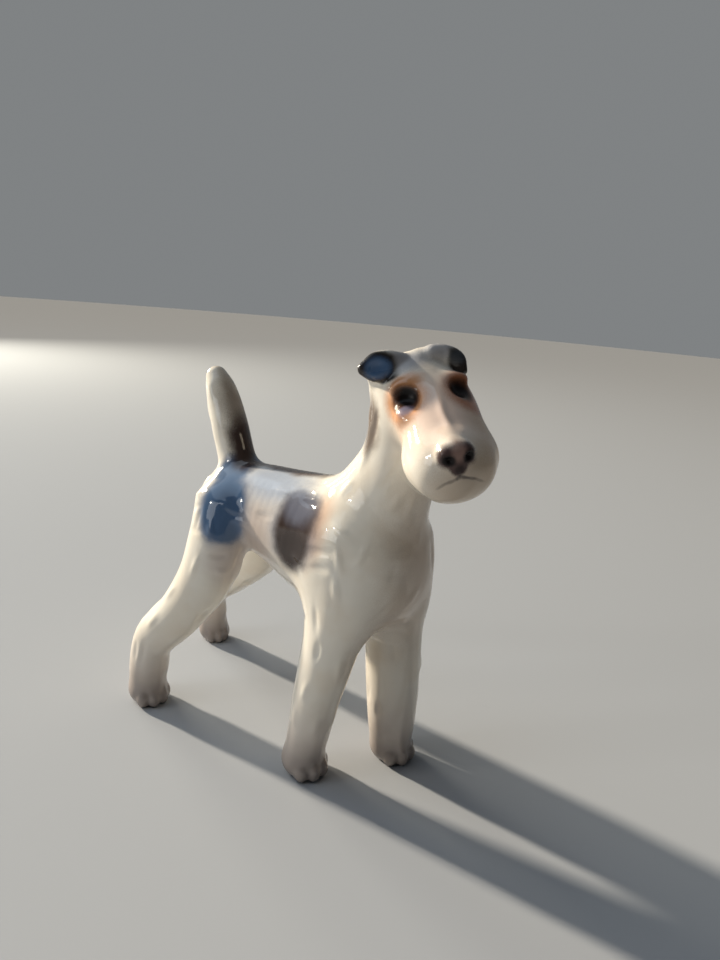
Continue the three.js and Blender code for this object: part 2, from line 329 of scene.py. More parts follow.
SKULL = [
    (0, 2, -0.1, 8.4, 7.3), (0.5, -6, -0.2, 8.6, 7.2), (0.6, -13, -1.1, 8.3, 7.2),
    (0, -19, -2.2, 8.5, 7.5), (0, -21.5, -2.5, 8, 6.9),
]
RIGHT_EAR = [
    (-4.6, 2.8, 6.2, 2.4, 2.2), (-7.4, 1.8, 6.9, 3.1, 1.6), (-10.4, 0.8, 7.3, 3, 1.3),
    (-12.9, 0.3, 7.7, 1.3, 0.9),
]
LEFT_EAR = [
    (2.6, 3, 7.3, 2, 2), (4.9, 2.1, 7, 2.3, 1.5), (7, 0.6, 6.1, 2.2, 1.25), (7.9, -1.2, 4.7, 1.1, 0.9),
]
EAR_SIDE = (0, 0.5, 0.86)  # across both ears' stations, in the head's frame
EAR_BACK = [(-11.3, 1.9, 6.2, 1.2, 1.1), (-9.4, 3, 3.4, 2.3, 1.8), (-7.6, 3.6, -1, 2.4, 2.2)]
BRIDGE = [
    (0.3, -8, 5.9, 0.45), (-0.2, -12, 5.75, 0.45), (-0.5, -15, 5.6, 0.45), (-0.4, -18.5, 5.25, 0.45),
    (-0.9, -22.5, 4.8, 0.4),
]
MOUTH = [
    [(-0.8, -28, 1.7, 0.34), (-0.75, -27.9, 0.8, 0.34)],
    [
        (-0.75, -27.9, 0.85, 0.34), (-1.9, -27.9, 0.2, 0.32), (-3.2, -27.6, -0.6, 0.28),
        (-4.6, -27.15, -1.9, 0.2),
    ],
    [
        (-0.75, -27.9, 0.85, 0.34), (0.7, -27.95, 0.4, 0.32), (2.1, -27.85, -0.2, 0.26),
        (3.8, -27.5, -1.5, 0.2),
    ],
]
HAIR_LENGTH, HAIR_RADIUS, HAIR_DEPTH = 3.6, 1.7, 0.32
HAIR = [
    (TORSO, 44, 3), (NECK, 40, 4), (FRONT_RIGHT, 22, 5), (FRONT_LEFT, 22, 6), (REAR_RIGHT, 24, 7),
    (REAR_LEFT, 22, 8), (TAIL, 10, 9),
]  # stations, how many tool marks, and the seed that places them
RIPPLE_DEPTH = 0.30
VENT = [(0, -4, 38, 1.6), (0, -4, 50, 1.6)]


def smooth_step(x, low, high):
    t = np.clip((x - low) / (high - low), 0, 1)
    return t * t * (3 - 2 * t)


def model_body(clay):
    clay.add(limb(TORSO), 0)
    clay.add(limb(NECK), 6)
    for leg, blend in ((FRONT_RIGHT, 10), (FRONT_LEFT, 10), (REAR_RIGHT, 5), (REAR_LEFT, 5)):
        clay.add(limb(leg), blend)
    clay.add(limb(TAIL), 3.5)
    clay.add(ball((7.5, -37.3, 45), (4.5, 5, 7)), 6)
    clay.add(ball((-7, -33.6, 46), (4.5, 5, 7)), 6)
    for x, y, r in PAWS:
        clay.add(ball((x, y - 0.2, 3.3), (4.7 * r, 4.7 * r, 4.4)), 3)
        for turn in (-57, -19, 19, 57):
            side, ahead = math.sin(math.radians(turn)), -math.cos(math.radians(turn))
            clay.add(ball((x + 4 * r * side, y - 0.2 + 4.5 * r * ahead, 2.2), (1.55 * r, 1.8 * r, 2.5)), 0.8)


def settle(clay, point):
    """The nearest point of the clay's surface, and the way out of it there."""
    for _ in range(4):
        slope = clay.slope(point[None])[0]
        point = point - clay.sample(point[None])[0] * slope / max(slope @ slope, 0.1)
    return point, slope / np.linalg.norm(slope)


def hair(clay, stations, count, seed):
    """Short marks of a modelling tool, all round a limb: shallow cuts, and low ridges between them."""
    rows = spline([s if len(s) == 5 else (*s, s[3]) for s in stations], 6)
    draw = np.random.default_rng(seed)
    for mark in range(count):
        at, turn, size = draw.uniform(0.05, 0.92), draw.uniform(0, 2 * math.pi), draw.uniform(0.7, 1.3)
        lean = draw.uniform(-0.25, 0.25)
        i = int(at * (len(rows) - 2))
        axis = rows[i + 1, :3] - rows[i, :3]
        axis /= np.linalg.norm(axis)
        side = np.cross(axis, (0.3, 0.9, 0.4) if abs(axis[1]) < 0.8 else (1, 0, 0))
        side /= np.linalg.norm(side)
        out = math.cos(turn) * side + math.sin(turn) * np.cross(axis, side)
        reach = np.arange(2, 22, 0.25)
        outside = np.flatnonzero(clay.sample(rows[i, :3] + reach[:, None] * out) > 0)
        if not len(outside):
            continue
        middle, normal = settle(clay, rows[i, :3] + out * reach[outside[0]])
        along = axis + lean * np.cross(axis, normal)
        raised = mark % 2
        stroke = []
        for k in (-1, -0.4, 0.3, 1):
            point, normal = settle(clay, middle + along * HAIR_LENGTH * size * k)
            depth = HAIR_DEPTH * (1 - 1.3 * k * k)
            stroke.append((*(point + normal * (HAIR_RADIUS - depth) * (-1 if raised else 1)), HAIR_RADIUS))
        (clay.add if raised else clay.cut)(limb(stroke, per_span=2), 0.3)


def model_head(clay):
    h = HEAD
    clay.add(limb(SKULL), 4.5, h)
    clay.add(ball((0.9, -17.5, -3.6), (9.4, 8, 6.3)), 3, h)
    clay.add(ball((0, -21, -1.2), (7.6, 6.4, 6.4)), 2, h)
    clay.add(limb(BRIDGE), 1.5, h)

    # nose and nostrils
    clay.add(ball((-0.8, -22.8, 3.6), (2.6, 3.4, 2)), 3, h)
    clay.add(ball((-0.9, -24.6, 4.3), (2.5, 2.0, 1.9)), 2.4, h)
    clay.add(ball((-2.6, -25.2, 3.9), (1.7, 1.6, 1.7)), 1.5, h)
    clay.add(ball((0.8, -25.2, 4.2), (1.7, 1.6, 1.75)), 1.5, h)
    clay.add(ball((-0.9, -25.8, 2.4), (1.4, 1.6, 1.6)), 1.4, h)
    clay.cut(ball((-2.6, -27.0, 4.0), (0.8, 1.2, 0.7), roll=20), 0.5, h)
    clay.cut(ball((1.1, -26.9, 4.3), (0.8, 1.2, 0.75), roll=-20), 0.5, h)

    # right brow, socket and eyeball, then the left brow and socket
    clay.add(ball((-5.3, -4.6, 5), (2.9, 2, 1.7)), 2.5, h)
    clay.cut(ball((-6.3, -8.6, 5.5), (2.9, 3.3, 2.5)), 1.9, h)
    clay.add(ball((-5.9, -9.6, 1.8), (2.3, 2.6, 2)), 2.4, h)
    clay.add(ball((5.2, -4.2, 5.3), (2.6, 2, 1.4)), 2.5, h)
    clay.cut(ball((5.3, -8.4, 6.9), (2.2, 2.8, 2.4)), 1.6, h)

    # folded ears, each hollowed in front, and the back of the skull
    clay.add(limb(RIGHT_EAR, side=EAR_SIDE), 1.2, h)
    clay.add(limb(EAR_BACK, side=EAR_SIDE), 2, h)
    clay.cut(ball((-9.2, -1.3, 8.7), (3.6, 1.9, 2.2), pitch=-30), 0.8, h)
    clay.add(ball((0.6, 3.4, 6.5), (2.6, 2.2, 1.8)), 2.5, h)
    clay.add(limb(LEFT_EAR, side=EAR_SIDE), 1.2, h)
    clay.cut(ball((7, -2.2, 8), (2.4, 1.9, 2.2), yaw=-20, pitch=-30), 0.8, h)
    clay.add(ball((-1.5, 5.5, -1.5), (7.5, 5, 7)), 4, h)
    for line in MOUTH:
        clay.cut(limb(line), 0.35, h)


def on_trunk(y, z):
    """1 on the trunk, 0 on the legs, neck and tail."""
    return smooth_step(y, -26, -14) * (1 - smooth_step(y, 8, 16)) * smooth_step(z, 42, 50)


def ripple_down(x, y, z):
    """Depth of the relief down the legs, neck and tail. It fades out at the head and at the soles."""
    return RIPPLE_DEPTH * (1 - on_trunk(y, z)) * (1 - smooth_step(z, 84, 92)) * smooth_step(z, 0, 6)


def sculpt(low, high, step):
    """The whole dog on one grid. Both grids get the same shapes, so their skins meet at the neck."""
    clay = Clay(low, high, step)
    model_body(clay)
    for stations, count, seed in HAIR:
        hair(clay, stations, count, seed)
    model_head(clay)
    clay.cut(limb(VENT), 0.6)
    clay.soften(0.3)
    clay.ripple((3.2, 8, 3.2), 11, lambda x, y, z: RIPPLE_DEPTH * on_trunk(y, z))
    clay.ripple((3.2, 3.2, 8), 12, ripple_down)
    z = clay.axes[2][None, None, :].astype(np.float32)
    clay.field = -smooth_min(-clay.field, z, 0.6)
    return clay


# ---------------------------------------------------------------- parting into castings

SEAMS = {
    "front_right_leg": {
        "at": (0, -30, 36.5), "out": (-1.1, -0.2, -1),
        "low": (-60, -70, -10), "high": (-0.4, -8, 80),
    },
    "front_left_leg": {
        "at": (0, -30, 36.5), "out": (1.1, -0.2, -1),
        "low": (0.4, -70, -10), "high": (60, -8, 80),
    },
    "rear_right_leg": {
        "at": (0, 12, 44), "out": (-1.1, 0.25, -1),
        "low": (-60, -4, -10), "high": (-0.4, 70, 80),
    },
    "rear_left_leg": {
        "at": (0, 12, 44), "out": (1.1, 0.25, -1),
        "low": (0.4, -4, -10), "high": (60, 70, 80),
    },
    "tail": {
        "at": (0, 13.5, 69), "out": (0, 0.37, 0.93),
        "low": (-20, 0, 60), "high": (20, 50, 110),
    },
    "head_shell": {
        "at": (0, -31, 93), "out": (0, -0.8, 0.6),
        "low": (-50, -90, 66), "high": (50, 0, 130),
    },
}
EAR_SEAMS = {
    "right_ear": {
        "at": (-6.3, 1, 6.2), "out": (-0.75, 0.25, 0.66),
        "low": (-20, -6, -20), "high": (-1.4, 12, 20),
    },
    "left_ear": {
        "at": (5, 1.6, 7.1), "out": (0.75, 0.3, 0.6),
        "low": (0.6, -6, 1), "high": (20, 12, 20),
    },
}


def in_region(points, seam, local):
    """Which points are in a seam's box, and how far each is beyond its plane."""
    p = local.local(points)
    boxed = ((p >= seam["low"]) & (p <= seam["high"])).all(1)
    out = np.array(seam["out"], float)
    return boxed, (p - seam["at"]) @ (out / np.linalg.norm(out))


def connected(bm, members, seed):
    """The member faces that hang together with the seed, as indices."""
    bm.faces.ensure_lookup_table()
    found, rim = {seed}, [seed]
    while rim:
        for e in bm.faces[rim.pop()].edges:
            for f in e.link_faces:
                if members[f.index] and f.index not in found:
                    found.add(f.index)
                    rim.append(f.index)
    return sorted(found)


def part(points, quads, seams):
    """Cuts the skin along seams, [(name, seam, frame)]. Returns points, faces and each face's casting."""
    bm = bmesh.new()
    verts = [bm.verts.new(p) for p in points]
    for q in quads:
        bm.faces.new([verts[i] for i in q])
    for _, seam, local in seams:
        bm.faces.ensure_lookup_table()
        centres = np.array([f.calc_center_median() for f in bm.faces])
        boxed, beyond = in_region(centres, seam, local)
        near = [bm.faces[i] for i in np.flatnonzero(boxed & (np.abs(beyond) < 1.5))]
        geometry = set(near) | {e for f in near for e in f.edges} | {v for f in near for v in f.verts}
        out = local.turn @ np.array(seam["out"], float)
        bmesh.ops.bisect_plane(
            bm, geom=list(geometry), dist=0.01, plane_co=Vector(local.out(seam["at"])), plane_no=Vector(out)
        )
    bm.verts.index_update()
    bm.faces.index_update()
    points = np.array([v.co for v in bm.verts])
    faces = [[v.index for v in f.verts] for f in bm.faces]
    centres = np.array([f.calc_center_median() for f in bm.faces])
    names = np.full(len(faces), "", dtype=object)
    for name, seam, local in seams:
        boxed, beyond = in_region(centres, seam, local)
        members = (names == "") & boxed & (beyond > 0)
        names[connected(bm, members, int(np.argmax(np.where(members, beyond, -1))))] = name
    bm.free()
    return points, faces, names


def loops_of(faces):
    """The closed rings of open edges, each turned so that a cap on it faces out."""
    directed = {(f[i - 1], f[i]) for f in faces for i in range(len(f))}
    following = {b: a for a, b in directed if (b, a) not in directed}
    rings = []
    while following:
        start, at = next(iter(following.items()))
        del following[start]
        ring = [start]
        while at != start and at in following:
            ring.append(at)
            at = following.pop(at)
        rings.append(ring)
    return rings


def piece(name, clay, points, faces, material):
    """A casting as a closed mesh, shaded by the clay's slope so that parted castings look like one skin."""
    used = sorted({i for f in faces for i in f})
    place = {old: new for new, old in enumerate(used)}
    points = points[used]
    faces = [[place[i] for i in f] for f in faces]
    slope = clay.slope(points)
    slope /= np.linalg.norm(slope, axis=1)[:, None]
    shading = [slope[i] for f in faces for i in f]
    for ring in loops_of(faces):
        p = points[ring]
        flat = np.cross(p - p.mean(0), np.roll(p, -1, 0) - p.mean(0)).sum(0)
        faces.append(ring)
        shading += [flat / np.linalg.norm(flat)] * len(ring)
    mesh = bpy.data.meshes.new(name)
    mesh.from_pydata(((points + SHIFT) * MM).tolist(), [], faces)
    mesh.polygons.foreach_set("use_smooth", [True] * len(mesh.polygons))
    mesh.normals_split_custom_set([tuple(n) for n in shading])
    mesh.materials.append(material)
    made = bpy.data.objects.new("porcelain_" + name, mesh)
    bpy.context.scene.collection.objects.link(made)
    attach(made, "root")
    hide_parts(name)


# ---------------------------------------------------------------- underglaze colours, painted shade and reflections, and the glaze


def srgb(*levels):
    """A screen colour, 0 to 255, as the linear RGBA that shaders take."""
    return (*(c / 255 / 12.92 if c <= 10 else ((c / 255 + 0.055) / 1.055) ** 2.4 for c in levels), 1)


class Paint:
    """One material's nodes: soft patches of colour placed in mm, under one clear glaze."""

    def __init__(self, name, ground):
        self.material = bpy.data.materials.new(name)
        self.material.use_nodes = True
        self.tree = self.material.node_tree
        self.shader = self.tree.nodes["Principled BSDF"]
        self.colour = ground
        where = self.node("TexCoord").outputs["Object"]
        self.body = self.mapped(where, SHIFT * MM, np.eye(3), (MM,) * 3)
        self.head = self.mapped(where, (HEAD.origin + SHIFT) * MM, HEAD.turn, (MM,) * 3)
        self.speckle = self.noise(self.body, 0.22, 2)
        self.loose_body = self.wobble(self.body, 4.5, 2.4)
        self.loose_head = self.wobble(self.head, 1.8, 0.5)

    def wire(self, value, socket):
        if isinstance(value, bpy.types.NodeSocket):
            self.tree.links.new(value, socket)
        else:
            socket.default_value = value

    def node(self, kind, inputs=(), **settings):
        made = self.tree.nodes.new("ShaderNode" + kind)
        for key, value in settings.items():
            setattr(made, key, value)
        for key, value in dict(inputs).items():
            self.wire(value, made.inputs[key])
        return made

    def mapped(self, where, origin, turn, scale):
        """Coordinates in the frame at origin, with its axes turned and scaled so."""
        angles = Matrix(turn.tolist()).to_euler("XYZ")
        settings = {"Vector": where, "Location": origin, "Rotation": angles, "Scale": scale}
        return self.node("Mapping", settings, vector_type="TEXTURE").outputs[0]

    def math(self, operation, *values):
        return self.node("Math", enumerate(values), operation=operation).outputs[0]

    def noise(self, where, size, detail=2, colour=False):
        made = self.node("TexNoise", {"Vector": where, "Scale": 1 / size, "Detail": detail})
        return made.outputs["Color" if colour else "Fac"]

    def wobble(self, where, size, amount):
        drift = self.noise(where, size, 2, colour=True)
        centred = self.node("VectorMath", {0: drift, 1: (0.5, 0.5, 0.5)}, operation="SUBTRACT")
        scaled = self.node("VectorMath", {0: centred.outputs[0], "Scale": amount}, operation="SCALE")
        return self.node("VectorMath", {0: where, 1: scaled.outputs[0]}, operation="ADD").outputs[0]

    def ramp(self, value, start, end):
        """0 at start, 1 at end, smooth between."""
        settings = {"Value": value, "From Min": start, "From Max": end}
        return self.node("MapRange", settings, interpolation_type="SMOOTHSTEP").outputs[0]

    def patch(self, where, centre, radii, soft=0.35, turn=(0, 0, 0)):
        """1 inside an ellipsoid, fading to 0 over a soft, sprayed edge."""
        near = self.mapped(where, centre, rotation(*turn), radii)
        length = self.node("VectorMath", {0: near}, operation="LENGTH").outputs["Value"]
        grain = self.math("MULTIPLY", self.math("SUBTRACT", self.speckle, 0.5), soft * 0.8)
        return self.ramp(self.math("ADD", length, grain), 1 + soft, 1 - soft)

    def streak(self, where, start, end, radius, soft=0.5):
        start, end = np.array(start, float), np.array(end, float)
        length = np.linalg.norm(end - start)
        turn = Vector(end - start).to_track_quat("Y", "Z").to_matrix()
        near = self.mapped(where, (start + end) / 2, np.array(turn), (radius, length / 2 + radius, radius))
        size = self.node("VectorMath", {0: near}, operation="LENGTH").outputs["Value"]
        return self.ramp(size, 1 + soft, 1 - soft)

    def side_of(self, where, point, direction, soft):
        """1 on the direction's side of a plane through point, over a soft edge in mm."""
        direction = Vector(direction).normalized()
        along = self.node("VectorMath", {0: where, 1: direction}, operation="DOT_PRODUCT").outputs["Value"]
        middle = direction.dot(Vector(point))
        return self.ramp(along, middle - soft, middle + soft)

    def layer(self, mask, colour, amount=1.0):
        share = self.math("MULTIPLY", mask, amount)
        self.colour = self.node("Mix", {0: share, 6: self.colour, 7: colour}, data_type="RGBA").outputs[2]

    def both(self, *masks):
        found = masks[0]
        for mask in masks[1:]:
            found = self.math("MULTIPLY", found, mask)
        return found

    def glaze(self, grain=None, satin=None):
        """Clear glaze: gloss that varies a little, a slow wave in it, and frost and satin where asked."""
        gloss = self.math("MULTIPLY_ADD", self.noise(self.body, 2.5, 3), GLOSS_RANGE, GLOSS)
        wave = self.noise(self.body, 2.6, 1)
        peel = self.math("MULTIPLY", self.noise(self.body, 0.6, 1), 0.12)
        height = self.math("ADD", wave, peel)
        if grain is not None:
            gloss = self.math("MULTIPLY_ADD", grain, 0.22, gloss)
            crystals = self.noise(self.body, 0.21, 1)
            height = self.math("MULTIPLY_ADD", self.math("MULTIPLY", crystals, grain), 3.8, height)
        if satin is not None:
            gloss = self.math("MULTIPLY_ADD", satin, 0.26, gloss)
            self.wire(self.math("MULTIPLY_ADD", satin, -0.35, 0.5), self.shader.inputs["Specular IOR Level"])
        bisque = self.side_of(self.body, (0, 0, 0.25), (0, 0, -1), 0.12)
        gloss = self.math("MULTIPLY_ADD", bisque, 0.6, gloss)
        bump = self.node("Bump", {"Strength": 1.0, "Distance": WAVE_HEIGHT * MM, "Height": height})
        self.wire(self.colour, self.shader.inputs["Base Color"])
        self.wire(gloss, self.shader.inputs["Roughness"])
        self.wire(bump.outputs[0], self.shader.inputs["Normal"])
        self.shader.inputs["IOR"].default_value = GLAZE_IOR
        return self.material


GLOSS, GLOSS_RANGE = 0.035, 0.05  # the glaze's least roughness, and how much it varies above that
WAVE_HEIGHT = 0.016  # mm
GLAZE_IOR = 1.55

WHITE = srgb(238, 232, 220)
CREAM = srgb(228, 216, 198)
SLATE = srgb(76, 100, 132)
SLATE_EDGE = srgb(122, 128, 146)
UMBER = srgb(62, 50, 46)
SEPIA = srgb(84, 64, 52)
TAN = srgb(206, 146, 100)
MAUVE = srgb(190, 174, 168)
PAW_GREY = srgb(134, 124, 119)
BLACK = srgb(24, 20, 20)


def ground(name):
    p = Paint(name, WHITE)
    p.layer(p.ramp(p.noise(p.body, 9, 2), 0.4, 0.7), CREAM, 0.5)
    p.layer(p.patch(p.loose_body, (-6.6, -33.2, 86.6), (4.2, 3.4, 6.4), 0.4), SEPIA, 0.85)
    return p


def body_glaze(name):
    p = ground(name)
    b = p.loose_body
    # brown-grey on the chest and the front of the right foreleg: partly airbrushed tone, partly painted
    # shade on the fronts that face away from the lights
    p.layer(p.patch(b, (2, -44, 56), (9, 8, 20), 0.7), srgb(172, 148, 130), 0.65)
    p.layer(p.patch(b, (-5, -38, 34), (5, 6, 16), 0.6), srgb(172, 150, 134), 0.5)
    p.layer(p.side_of(b, (0, 0, 15), (0, 0, -1), 13), MAUVE, 0.65)
    p.layer(p.side_of(b, (0, 0, 7), (0, 0, -1), 7.5), PAW_GREY, 0.95)
    # grey, mauve and tan on the right flank and the front of the thigh: painted shade where they face away
    # from the sun, mixed with a soft mauve tone
    p.layer(p.patch(b, (-12, 1, 47), (6, 7, 7), 0.6), MAUVE, 0.6)
    p.layer(p.patch(b, (-12, -6, 59), (7, 10, 10), 0.7), srgb(190, 184, 186), 0.6)
    p.layer(p.patch(b, (-13, -5, 54), (6, 6, 8), 0.6), srgb(186, 158, 138), 0.45)

    # a painted reflection: cool blue-grey on the top of the back, where the glaze mirrors the window light;
    # and the hip patch up to the root of the tail
    p.layer(p.patch(b, (-6, -6, 68), (7, 12, 4.5), 0.6), srgb(160, 174, 196), 0.8)

    p.layer(p.patch(b, (-12, 5.2, 59.4), (9.5, 7.8, 9), 0.26), SLATE_EDGE, 0.7)
    p.layer(p.patch(b, (-12, 5.6, 60.2), (9, 6.2, 7.2), 0.26), SLATE)
    p.layer(p.patch(b, (-13, 4.6, 55.6), (7, 5.6, 4.4), 0.26), SLATE)
    p.layer(p.patch(b, (-5, 9, 67), (6.5, 5, 4.2), 0.35), SLATE, 0.95)

    # the shoulder patch, with a tan edge towards the neck, and its top lighter blue-grey as a painted
    # reflection
    p.layer(p.patch(b, (-11, -25.4, 62.5), (5, 3.4, 8), 0.6), TAN, 0.55)
    p.layer(p.patch(b, (-12, -18.9, 60.3), (8, 8, 9.4), 0.26), SLATE_EDGE, 0.6)
    p.layer(p.patch(b, (-12, -18.7, 58.6), (8, 6.4, 7.6), 0.28), UMBER)
    p.layer(p.patch(b, (-11, -19.2, 63.6), (7, 6.8, 5.4), 0.3), UMBER, 0.85)
    p.layer(p.patch(b, (-12, -18.7, 56.6), (8, 5, 4.6), 0.4), srgb(40, 30, 26), 0.7)
    # painted reflection: the top of the shoulder patch lighter blue-grey, where the glaze mirrors the window
    # light
    p.layer(p.patch(b, (-10, -18.6, 65.5), (6, 5.2, 4), 0.5), SLATE_EDGE, 0.55)

    # the stripe along the back and up the front of the tail
    p.layer(p.streak(b, (1.0, 6, 69.5), (-0.6, -20, 72.2), 2.6, 0.5), SEPIA, 0.9)
    p.layer(p.patch(b, (0, 14.5, 80), (3.6, 3.4, 12), 0.6, turn=(0, -28, 0)), SEPIA, 0.7)
    p.layer(p.patch(b, (0, 10.5, 73), (4.6, 3.6, 8), 0.4, turn=(0, -28, 0)), UMBER)
    p.layer(p.patch(b, (0, 7.5, 69.5), (6.5, 4.6, 3), 0.45), UMBER, 0.9)

    # the hidden left side, by guess
    p.layer(p.patch(b, (10.5, -40, 63), (5, 4.2, 7.5), 0.45), SEPIA, 0.85)
    p.layer(p.patch(b, (12, -15, 60), (8, 8.4, 9), 0.28), SLATE_EDGE, 0.6)
    p.layer(p.patch(b, (12, -16.4, 61.6), (8, 6, 6.4), 0.28), UMBER)
    p.layer(p.patch(b, (12, -13, 57.4), (8, 5.4, 6), 0.3), UMBER)
    p.layer(p.patch(b, (12, 8, 58.8), (9.5, 7.4, 8.4), 0.26), SLATE_EDGE, 0.7)
    p.layer(p.patch(b, (12, 8.4, 59.4), (9, 5.8, 6.8), 0.26), SLATE)
    p.layer(p.patch(b, (5.5, 9.6, 67), (6, 4.6, 4), 0.35), SLATE, 0.95)
    return p.glaze()


def head_glaze(name):
    p = ground(name)
    h = p.loose_head
    p.layer(p.patch(h, (0, -13, 4), (8, 10, 6), 0.6), srgb(222, 190, 172), 0.75)
    # painted shade: brown-grey on the front and underside of the muzzle
    p.layer(p.patch(h, (1, -27, -2), (8, 5, 6), 0.6), srgb(186, 166, 144), 0.75)
    p.layer(p.patch(h, (-3.6, 1.2, 7.6), (4.2, 3, 3), 0.6), SLATE_EDGE, 0.7)
    p.layer(p.patch(h, (3.8, 2.4, 8.6), (3.2, 2.6, 2.4), 0.6), SLATE_EDGE, 0.65)

    # painted shade with warm bounced light: tan-brown on the dog's left side of the muzzle, which faces away
    # from the lights
    p.layer(p.patch(h, (8, -17, -1), (5.5, 9, 6.5), 0.6), srgb(182, 148, 112), 0.75)
    p.layer(p.patch(h, (-6.2, -7.6, 4.3), (5, 5.2, 4.9), 0.3), TAN, 0.9)
    p.layer(p.patch(h, (-5, -4.1, 6.6), (3.6, 1.9, 2), 0.5), TAN, 0.7)
    p.layer(p.patch(h, (-8.4, -11.6, 1), (2, 4, 4), 0.8), TAN, 0.4)
    p.layer(p.patch(h, (-5.8, -7.4, 4.3), (3.1, 3, 3.2), 0.24), srgb(84, 54, 38))
    p.layer(p.patch(h, (-5.3, -6.9, 4.4), (2.1, 2.1, 2.2), 0.3), BLACK)
    # painted reflection: lilac-grey on the lower part of the right eye, where the glossy eyeball mirrors the
    # light
    p.layer(p.patch(h, (-6.3, -10, 3.4), (1.7, 1.3, 1.3), 0.45), srgb(132, 128, 150), 0.75)

    p.layer(p.patch(h, (6.4, -8.6, 4.6), (5.1, 6, 5.4), 0.3), srgb(164, 98, 58), 0.95)
    p.layer(p.patch(h, (5.3, -8.4, 5.4), (2.7, 3.2, 3.1), 0.25), srgb(84, 54, 38))
    p.layer(p.patch(h, (5.1, -8.4, 5.6), (1.9, 2.3, 2.6), 0.25), BLACK)

    nose = srgb(84, 68, 66)
    p.layer(p.patch(h, (-2.5, -25.8, 4.1), (2.3, 2.3, 2.2), 0.3), nose)
    p.layer(p.patch(h, (0.7, -25.8, 4.4), (2.3, 2.3, 2.3), 0.3), nose)
    p.layer(p.patch(h, (-0.9, -26.7, 3), (1.8, 2.1, 2.4), 0.2), nose)
    p.layer(p.patch(h, (-0.7, -25.6, 5.2), (1.3, 2.6, 1.6), 0.5), srgb(158, 130, 120), 0.8)
    p.layer(p.patch(h, (-0.8, -27.9, 2.2), (1, 1, 0.9), 0.4), BLACK, 0.6)
    p.layer(p.patch(h, (-2.6, -26.4, 3.95), (1.25, 1.6, 1.15), 0.35), BLACK)
    p.layer(p.patch(h, (1.1, -26.3, 4.25), (1.25, 1.6, 1.2), 0.35), BLACK)
    for line in MOUTH:
        for reach, (start, end) in enumerate(zip(line[:-1], line[1:])):
            p.layer(p.streak(h, start[:3], end[:3], start[3], 0.6), srgb(80, 72, 68), 0.8 - 0.2 * reach)

    face = (0, -0.86, 0.5)
    right = p.both(
        p.side_of(h, (-9.5, 0.9, 7), face, 0.5),
        p.side_of(h, (-5.9, 0, 6), (-1, 0, 0.1), 1.1),
        p.patch(h, (-9.5, 0.6, 7.4), (6.5, 3.4, 3.4), 0.1),
    )
    left = p.both(
        p.side_of(h, (7, 0.4, 6.2), face, 0.7),
        p.side_of(h, (5.4, 0, 7), (1, 0.1, -0.1), 0.8),
        p.patch(h, (7, 0.6, 6.6), (4, 3.2, 4), 0.1),
    )
    right_back = p.patch(h, (-10.8, 1.4, 7.3), (4, 3.4, 2.6), 0.25)
    left_back = p.patch(h, (7.6, 0.6, 6), (2.6, 3, 3.2), 0.25)
    for mask in (right, left, right_back, left_back):
        p.layer(mask, srgb(48, 42, 38))
    # underglaze blue on the right ear's face, made lighter as a painted reflection of the window light in
    # its frosted glaze
    p.layer(p.patch(h, (-9.6, 0, 7.6), (2.8, 3, 2), 0.3), srgb(88, 124, 170), 0.95)
    p.layer(p.patch(h, (7, 0, 7.6), (1.8, 2, 1.2), 0.5), srgb(70, 84, 96), 0.35)
    frosted = p.both(p.side_of(h, (0, 0, 6.4), (0, 0.1, 1), 0.8), p.side_of(h, (0, -3.6, 0), (0, 1, 0), 1.5))
    right_eye = p.patch(h, (-5.8, -8, 4), (3, 3.4, 3), 0.3)
    left_eye = p.patch(h, (5.4, -8.2, 5.4), (3, 3.3, 3), 0.3)
    snout = p.patch(h, (-0.9, -26.4, 4), (3.6, 3, 3.2), 0.3)
    return p.glaze(frosted, p.math("MAXIMUM", p.math("MAXIMUM", right_eye, left_eye), snout))


# ---------------------------------------------------------------- camera, light and floor


EYE = (-0.1228, -0.1197, 0.1135)  # m, in the modelling frame
AHEAD = (0.7710, 0.5819, -0.2588)
CAMERA_TILT = 5  # degrees, about the line of sight
LENS, SENSOR = 26.25, 36  # mm

ROOM_FRONT, ROOM_BACK = (0.034, 0.034, 0.034, 1), (0.215, 0.225, 0.23, 1)
ROOM_AXIS = (0.77, 0.58, 0)  # from the dark end of the room to the light one
ROOM_FADE = (-0.4, 0.75)  # where along that axis the room starts to get lighter, and stops
SUN_FROM, SUN_POWER, SUN_COLOUR, SUN_ANGLE = (-0.1, 1, 0.41), 5.8, (1, 0.88, 0.70), 3
DOG_MIDDLE = (0, 0, 0.055)
SOFTBOXES = [  # name, place from the dog's middle in m, size in m, power in W, colour
    ("back_window", (0.15, 0.96, 0.24), (0.30, 0.24), 5.0, (1, 0.92, 0.74)),
    ("side_window", (-0.76, 0.38, 0.20), (0.35, 0.35), 0.8, (0.94, 0.97, 1)),
    ("side_glint", (-0.70, 0.50, 0.26), (0.07, 0.07), 0.6, (1, 0.94, 0.82)),
    ("top_window", (-0.24, 0.36, 0.68), (0.80, 0.70), 1.8, (0.74, 0.87, 1)),
]
FLOOR_RADIUS, FLOOR_COLOUR, FLOOR_ROUGHNESS = 2.5, (0.41, 0.43, 0.465, 1), 0.9


